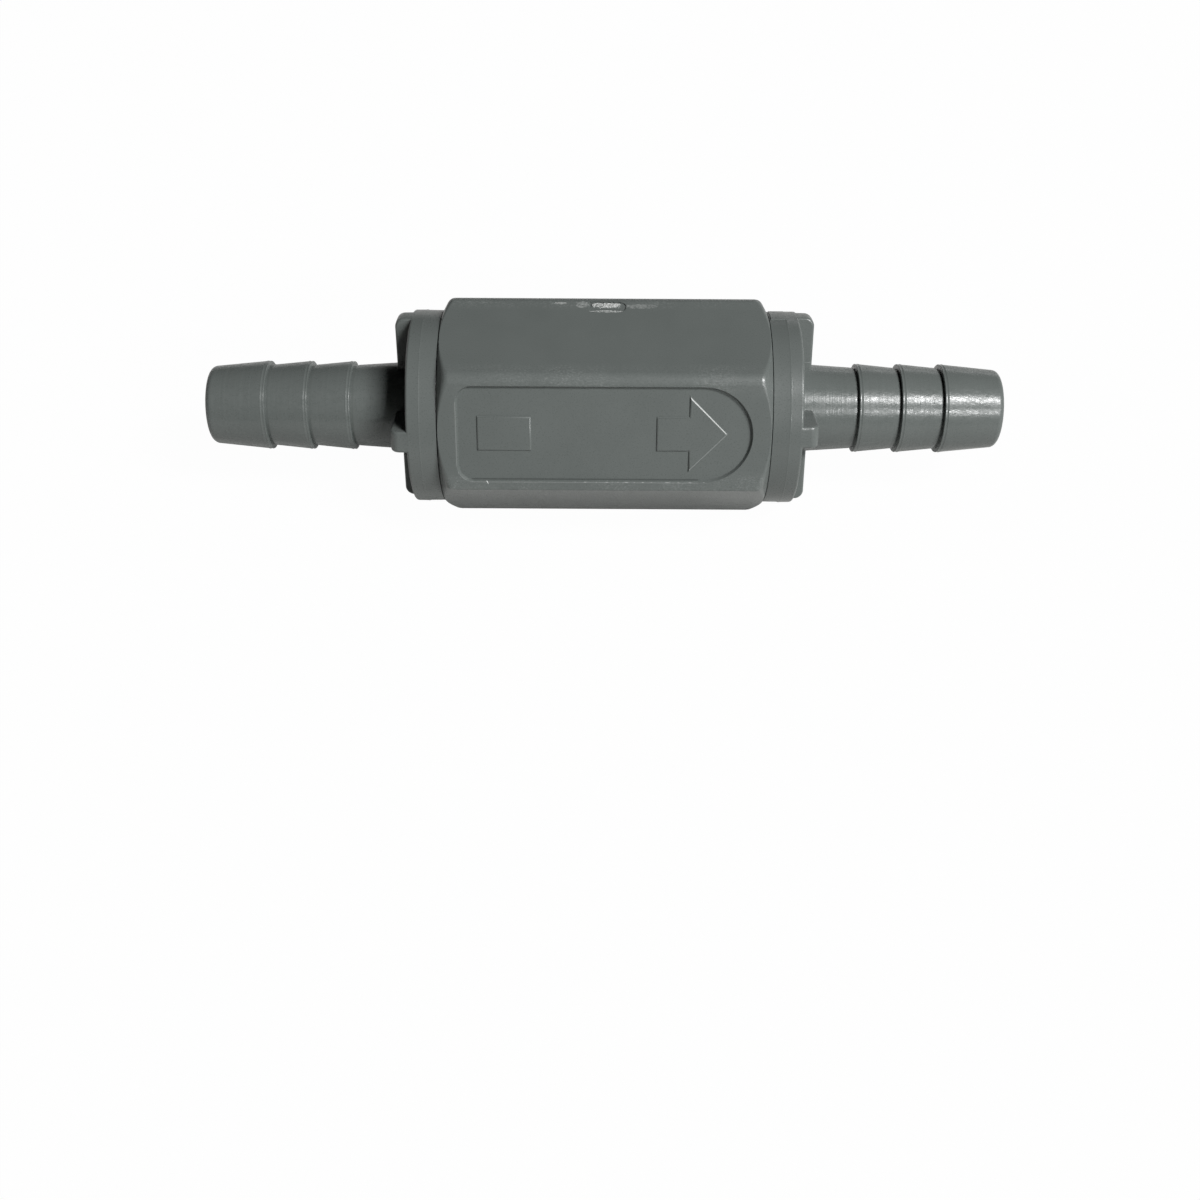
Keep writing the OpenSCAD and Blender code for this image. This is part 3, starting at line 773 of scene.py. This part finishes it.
endPiece = {
    'steps': 176, 'outletTurn': 1.5, 'inletTurn': 6, 'tip': 62.499, 'tipRadius': 6.15, 'tipRound': 1.1,
    # inside and round the spigot: radius, place along the flow
    'spigot': [(4.75, 29.25), (8, 26), (8, 13.5), (9.9, 13.5), (10.5, 14.1)], 'spigotSoft': 0.05,
    'boreRadius': 4.75, 'threadRadius': 10.5,
    'seat': 25.36, 'face': 30.0, 'flangeRadius': 15.1, 'flangeEdge': 0.4, 'seatStep': 0.05, 'seatSide': 2.5,
    # the mould's parting line stands a hair proud: out from the flange's radius, place along the flow
    'parting': [(-0.06, 27.72), (0.015, 27.96), (0.015, 28.0), (-0.02, 28.06)],
    'neckRadius': 6.9, 'neckFillet': 1.2, 'root': 6.36, 'crest': 6.95, 'ridges': [39.7, 46.35, 53.0],
    # a tight inner corner, the steep back, a land with a fine lip at each side, then the long taper
    'ridge': [('root', 0.03, -0.65), ('root', -0.05, -0.4), ('root', -0.14, -0.03), ('crest', -0.06, 0),
              ('crest', -0.01, 0.03), ('crest', 0.01, 0.09), ('crest', -0.02, 0.2), ('crest', -0.025, 0.42),
              ('crest', 0.025, 0.53), ('crest', 0.02, 0.6), ('crest', -0.04, 0.74)],
}

gripRib = {
    'count': 4, 'thickness': 3.4, 'foot': 5.8, 'start': 28.6, 'top': 32.45, 'radius': 15.07, 'corner': 1.35,
    'cornerSteps': 8, 'edge': 0.35, 'edgeSteps': 3,
}

mouldPad = {
    'width': 5, 'round': 118.5, 'foot': 14.2, 'radius': 15.16, 'start': 25.55, 'end': 27.95, 'edge': 0.06,
    'edgeSteps': 2,
}


def endProfile():
    s = endPiece
    fillet, edge, face, outer = s['neckFillet'], s['flangeEdge'], s['face'], s['flangeRadius']
    seatEdge = outer - s['seatStep'] - s['seatSide'] * mouldDraft
    parting = [(outer + out, along) for out, along in s['parting']]
    inside = [(s['boreRadius'], s['tip']), *s['spigot'], (s['threadRadius'], s['seat'])]
    inside += [(seatEdge, s['seat']), parting[0]]
    points = softCorners(inside, s['spigotSoft'], closed=False) + parting[1:]
    points += arc((outer - mouldDraft * 2 - edge, face - edge), edge, 0, 90, 6)
    points += arc((s['neckRadius'] + fillet, face + fillet), fillet, 270, 180, 8)
    for ridge in s['ridges']:
        points += [(s[base] + out, ridge + along) for base, out, along in s['ridge']]
    points += arc((s['tipRadius'] - s['tipRound'], s['tip'] - s['tipRound']), s['tipRound'], 0, 90, 8)
    return points


def makeBlock(name, start, end, thickness, foot, top, draft, strips=8):
    # a block on the top of the flange, whose upper face follows the round
    block = startBlock(name, (end - start, thickness, top - foot), ((start + end) / 2, 0, (foot + top) / 2))
    for i in range(1, strips):
        choose(block, 'FACE', anyPart)
        bpy.ops.mesh.bisect(plane_co=(0, thickness * (i / strips - 0.5), 0), plane_no=(0, 1, 0))
    choose(block, 'VERT', lambda v: v.co.z > top - samePoint)
    placeChosen(block, lambda co: Vector((co.x, co.y, sqrt((top - draft * (co.x - start)) ** 2 - co.y ** 2))))
    return block


def makeRib():
    s = gripRib

    def outerEdge(edge):
        return all(v.co.z > s['radius'] - 1 and v.co.x > s['top'] - samePoint for v in edge.verts)

    def sideEdge(edge):
        # between a side of the rib and a face that isn't one, away from the rib's hidden start
        sides = [abs(face.normal.y) > 0.9 for face in edge.link_faces]
        return any(sides) and not all(sides) and max(v.co.x for v in edge.verts) > s['start'] + samePoint

    rib = makeBlock('gripRib', s['start'], s['top'], s['thickness'], s['foot'], s['radius'], mouldDraft)
    choose(rib, 'EDGE', outerEdge)
    bpy.ops.mesh.bevel(offset=s['corner'], segments=s['cornerSteps'], affect='EDGES')
    choose(rib, 'EDGE', sideEdge)
    bpy.ops.mesh.bevel(offset=s['edge'], segments=s['edgeSteps'], affect='EDGES')
    return rib


def makePad():
    s = mouldPad
    pad = makeBlock('mouldPad', s['start'], s['end'], s['width'], s['foot'], s['radius'], 0)
    choose(pad, 'FACE', facesUp)
    bpy.ops.mesh.region_to_loop()
    bpy.ops.mesh.bevel(offset=s['edge'], segments=s['edgeSteps'], affect='EDGES')
    pad.rotation_euler = (radians(90 - s['round']), 0, 0)
    settle(pad)
    return pad


outlet = turnPiece('outletEnd', endProfile(), endPiece['steps'])
rib = makeRib()
for i in range(gripRib['count']):
    ribCopy = copyOf(rib, 'ribCopy')
    # the first rib is in line with the panel until the piece is screwed home
    ribCopy.rotation_euler = (radians(panelTurn - 360 / gripRib['count'] * i), 0, 0)
    settle(ribCopy)
    combine(outlet, ribCopy, 'UNION')
bpy.data.objects.remove(rib, do_unlink=True)
inlet = copyOf(outlet, 'inletEnd')
outlet.rotation_euler = (radians(endPiece['outletTurn']), 0, 0)
inlet.rotation_euler = (radians(endPiece['inletTurn']), 0, 0)
settle(outlet)
settle(inlet)
combine(outlet, makePad(), 'UNION')
inlet.scale = (-1, 1, 1)
settle(inlet)
closeUp(inlet)
finishPiece(outlet, 'outlet_end', 'housing', endPvc)
finishPiece(inlet, 'inlet_end', 'housing', endPvc)
print('end pieces made')


# Inner pieces

flangeCord = {
    # the mould leaves a hair-thin flash line round the inside and the outside, a few degrees wide
    'cord': 0.8, 'middle': 11.35, 'along': 24.65, 'flash': 0.01, 'flashHalf': 4, 'sides': 14, 'steps': 128,
}


def makeFlangeRing(name, node, side):
    s = flangeCord
    centre, half = (s['middle'], s['along']), s['flashHalf']
    points = arc(centre, s['cord'], half, 180 - half, s['sides'])
    points += [(s['middle'] - s['cord'] - s['flash'], s['along'])]
    points += arc(centre, s['cord'], 180 + half, 360 - half, s['sides'])
    points += [(s['middle'] + s['cord'] + s['flash'], s['along'])]
    ring = turnPiece(name, [(radius, along * side) for radius, along in points], s['steps'])
    finishPiece(ring, node, 'housing', rubber, smoothUpTo=50)


makeFlangeRing('outletRing', 'outlet_o_ring', 1)
makeFlangeRing('inletRing', 'inlet_o_ring', -1)

seatCord = {'cord': 0.75, 'middle': (9.75, -11.25), 'end': 348, 'sides': 29, 'steps': 128}

sealRound = arc(seatCord['middle'], seatCord['cord'], 0, seatCord['end'], seatCord['sides'])
seatSeal = turnPiece('seatSeal', sealRound, seatCord['steps'])
finishPiece(seatSeal, 'seat_o_ring', 'housing', rubber, smoothUpTo=50)


def makeTurned(name, s):
    # from an outline of radius and place along the flow, with each corner softened
    return turnPiece(name, softCorners(s['outline'], s['soft']), s['steps'])


seatRing = {
    'soft': 0.09, 'steps': 128,
    'outline': [(5, -12), (5, -9), (5.375, -8.3), (5.725, -8.3), (6.1, -9), (10.45, -9), (10.45, -10.35),
                (8.95, -10.35), (8.95, -12.15), (10.45, -12.15), (10.45, -13.5), (6.5, -13.5)],
}

finishPiece(makeTurned('seatRing', seatRing), 'seat_ring', 'housing', acetal)

stemGuide = {
    'rim': {'soft': 0.12, 'steps': 128, 'outline': [(8.6, 9), (10.45, 9), (10.45, 13.5), (8.6, 13.5)]},
    'hub': {'soft': 0.12, 'steps': 96,
            'outline': [(1.8, 13.5), (1.8, 5), (3.1, 5), (3.1, 7), (4.2, 7), (4.2, 13.5)]},
    'spokes': 3, 'spokeSize': (3.5, 1.6, 6.0), 'spokeMiddle': (11.25, 0, 6.1), 'spokeEdge': 0.3,
    'spokeEdgeSteps': 4,
}


def roundSides(block, edge, steps):
    # the four edges that stand along Z
    choose(block, 'EDGE', lambda e: abs(e.verts[0].co.z - e.verts[1].co.z) > 1)
    bpy.ops.mesh.bevel(offset=edge, segments=steps, affect='EDGES')


def makeGuide():
    s = stemGuide
    guide = makeTurned('stemGuide', s['rim'])
    hub = makeTurned('guideHub', s['hub'])
    for i in range(s['spokes']):
        spoke = startBlock('spoke', s['spokeSize'], s['spokeMiddle'])
        roundSides(spoke, s['spokeEdge'], s['spokeEdgeSteps'])
        spoke.rotation_euler = (2 * pi * i / s['spokes'], 0, 0)
        settle(spoke)
        combine(hub, spoke, 'UNION')
    combine(guide, hub, 'UNION')
    finishPiece(guide, 'stem_guide', 'housing', acetal)


makeGuide()

poppet = {
    'soft': 0.1, 'steps': 96,
    'outline': [(0, -1.6), (1.05, -2.2), (1.05, -8.2), (2.1, -8.2), (2.1, -6.7), (6.8, -6.7), (6.8, -7.7),
                (7.6, -7.7), (7.6, -5.2), (7.1, -4.7), (3.1, -4.7), (3.1, -2.7), (2.4, -2.7), (2.4, -0.05),
                (1.75, -0.05), (1.75, 12.5), (1.25, 13), (0, 13)],
}
poppetSeal = {'soft': 0.12, 'steps': 96, 'outline': [(2.15, -8.3), (6.75, -8.3), (6.75, -6.7), (2.15, -6.7)]}
retainer = {'soft': 0.1, 'steps': 96, 'outline': [(1.05, -9.1), (4.2, -9.1), (4.2, -8.3), (1.05, -8.3)]}

finishPiece(makeTurned('valvePoppet', poppet), 'poppet', 'poppet_group', acetal)
finishPiece(makeTurned('poppetSeal', poppetSeal), 'poppet_seal', 'poppet_group', rubber)
finishPiece(makeTurned('sealRetainer', retainer), 'seal_retainer', 'poppet_group', turnedSteel)

screw = {
    'soft': 0.06, 'steps': 64,
    'outline': [(0, -10.4), (1.3, -10.4), (1.75, -10.2), (2, -9.85), (2, -9.1), (1, -9.1), (1, -4.1),
                (0, -3.1)],
    'slotSize': (1.2, 0.5, 8), 'slotMiddle': (-10.4, 0, 0), 'slotEdge': 0.06, 'slotEdgeSteps': 2,
}


def makeScrew():
    s = screw
    piece = makeTurned('retainerScrew', s)
    slot = startBlock('slotTool', s['slotSize'], s['slotMiddle'])
    roundSides(slot, s['slotEdge'], s['slotEdgeSteps'])
    combine(piece, slot, 'DIFFERENCE')
    finishPiece(piece, 'retainer_screw', 'poppet_group', turnedSteel)


makeScrew()

springCoil = {
    'wire': 0.5, 'coil': 7.2, 'coils': 8, 'start': -4.7, 'end': 7.0, 'rise': 0.575, 'stepsPerTurn': 40,
    'wireSteps': 3,
}


def makeSpring():
    # cold-coiled wire with closed end turns, as one smooth tube
    s = springCoil
    turns = s['coils'] + 2
    working = s['end'] - s['start'] - s['wire'] - 2 * s['rise']

    def height(turn):
        if turn < 1:
            return s['wire'] / 2 + turn * s['rise']
        if turn > s['coils'] + 1:
            return s['end'] - s['start'] - s['wire'] / 2 - (turns - turn) * s['rise']
        return s['wire'] / 2 + s['rise'] + (turn - 1) / s['coils'] * working

    deselectAll()
    bpy.ops.curve.primitive_nurbs_path_add()
    spring = bpy.context.object
    spring.name = 'closingSpring'
    path = spring.data
    path.splines.clear()
    line = path.splines.new('POLY')
    count = turns * s['stepsPerTurn']
    line.points.add(count)
    for i in range(count + 1):
        turn = i / s['stepsPerTurn']
        y, z = s['coil'] / 2 * cos(2 * pi * turn), s['coil'] / 2 * sin(2 * pi * turn)
        line.points[i].co = (s['start'] + height(turn), y, z, 1)
    path.dimensions = '3D'
    path.bevel_depth = s['wire'] / 2
    path.bevel_resolution = s['wireSteps']
    path.use_fill_caps = True
    pick(spring)
    bpy.ops.object.convert(target='MESH')
    closeUp(spring)
    finishPiece(spring, 'closing_spring', 'housing', wireSteel, smoothUpTo=40)
    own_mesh(spring)


makeSpring()
print('inner pieces made')


# Camera, at the photo's viewing angle

view = {
    'lens': 43.8, 'sensor': 36, 'elevation': 53.64, 'turn': -0.07, 'roll': 0.27, 'distance': 233.6,
    'right': 0.57, 'up': 30.95, 'nearest': 10,
}


def placeCamera():
    bpy.ops.object.camera_add()
    camera = bpy.context.object
    camera.name = 'photoCamera'
    turned = (Matrix.Rotation(-radians(view['turn']), 3, 'Z')
              @ Matrix.Rotation(radians(90 - view['elevation']), 3, 'X'))
    camera.location = turned @ Vector((-view['right'], -view['up'], view['distance'])) * mm
    camera.rotation_euler = (turned @ Matrix.Rotation(radians(view['roll']), 3, 'Z')).to_euler()
    camera.data.lens = view['lens']
    camera.data.sensor_width = view['sensor']
    camera.data.clip_start = view['nearest'] * mm
    bpy.context.scene.camera = camera


deselectAll()
placeCamera()
print('camera placed')


# Studio: a pale table, two soft boxes up to the right, one above the other, and a weak one behind

studio = {
    'table': 3.0, 'card': '#c9c9c7', 'cardRoughness': 0.5, 'walls': 0.005,
    # how white the camera sees it, and how white reflections and clear parts show it
    'tableWhite': (0.98, 0.17), 'wallsWhite': (1.0, 0.02),
    'lamps': {
        # direction from the valve: degrees to the right, then round from the front to the top
        'overBox': {'right': 32, 'round': 71, 'width': 0.38, 'height': 0.24, 'reach': 1.2, 'power': 13.7},
        'frontBox': {'right': 32, 'round': 36.5, 'width': 0.38, 'height': 0.04, 'reach': 1.2, 'power': 5.8},
        'backBox': {'right': 20, 'round': 172, 'width': 0.5, 'height': 0.2, 'reach': 1.2, 'power': 0.45},
    },
}


def placeLamp(name, lamp):
    right, around = radians(lamp['right']), radians(lamp['round'])
    out = Vector((sin(right), -cos(right) * cos(around), cos(right) * sin(around)))
    bpy.ops.object.light_add(type='AREA', location=out * lamp['reach'])
    light = bpy.context.object
    light.name = name
    # the long side lies along the valve
    side = (Vector((1, 0, 0)) - out * out.x).normalized()
    light.rotation_euler = Matrix((side, out.cross(side), out)).transposed().to_euler()
    light.data.shape = 'RECTANGLE'
    light.data.size = lamp['width']
    light.data.size_y = lamp['height']
    light.data.energy = lamp['power']


def whiteShare(m, toCamera, mirrored):
    # 1 is all white
    path = addNode(m, 'LightPath', {}, {}).outputs
    seen = addNode(m, 'Math', addClamped, [path['Is Glossy Ray'], path['Is Transmission Ray']])
    direct = addNode(m, 'Math', multiply, [path['Is Camera Ray'], toCamera])
    return addNode(m, 'Math', addClamped, [direct, addNode(m, 'Math', multiply, [seen, mirrored])])


def whiteCard():
    # Matt white card: white to the camera and in reflections, with the valve's soft shade kept
    m = startMaterial('whiteCard')
    card = addNode(m, 'BsdfDiffuse', {}, {'Color': studio['card'], 'Roughness': studio['cardRoughness']})
    bright = addNode(m, 'Emission', {}, {'Strength': 1.0})
    both = addNode(m, 'MixShader', {}, [whiteShare(m, *studio['tableWhite']), card, bright])
    addNode(m, 'OutputMaterial', {}, {'Surface': both})
    return m


def paleWalls():
    # the walls are white to the camera, and give the valve hardly any light
    world = bpy.data.worlds.new('studioWalls')
    world.use_nodes = True
    world.node_tree.nodes.clear()
    walls = addNode(world, 'Background', {}, {'Color': '#ffffff', 'Strength': studio['walls']})
    white = addNode(world, 'Background', {}, {'Color': '#ffffff', 'Strength': 1.0})
    both = addNode(world, 'MixShader', {}, [whiteShare(world, *studio['wallsWhite']), walls, white])
    addNode(world, 'OutputWorld', {}, {'Surface': both})
    return world


for lampName, lamp in studio['lamps'].items():
    placeLamp(lampName, lamp)

bpy.ops.mesh.primitive_plane_add(size=studio['table'], location=(0, 0, -flatHeight * mm))
table = bpy.context.object
table.name = 'table'
table.data.materials.append(whiteCard())
bpy.context.scene.world = paleWalls()
bpy.context.scene.view_settings.view_transform = 'Standard'
print('studio lit')
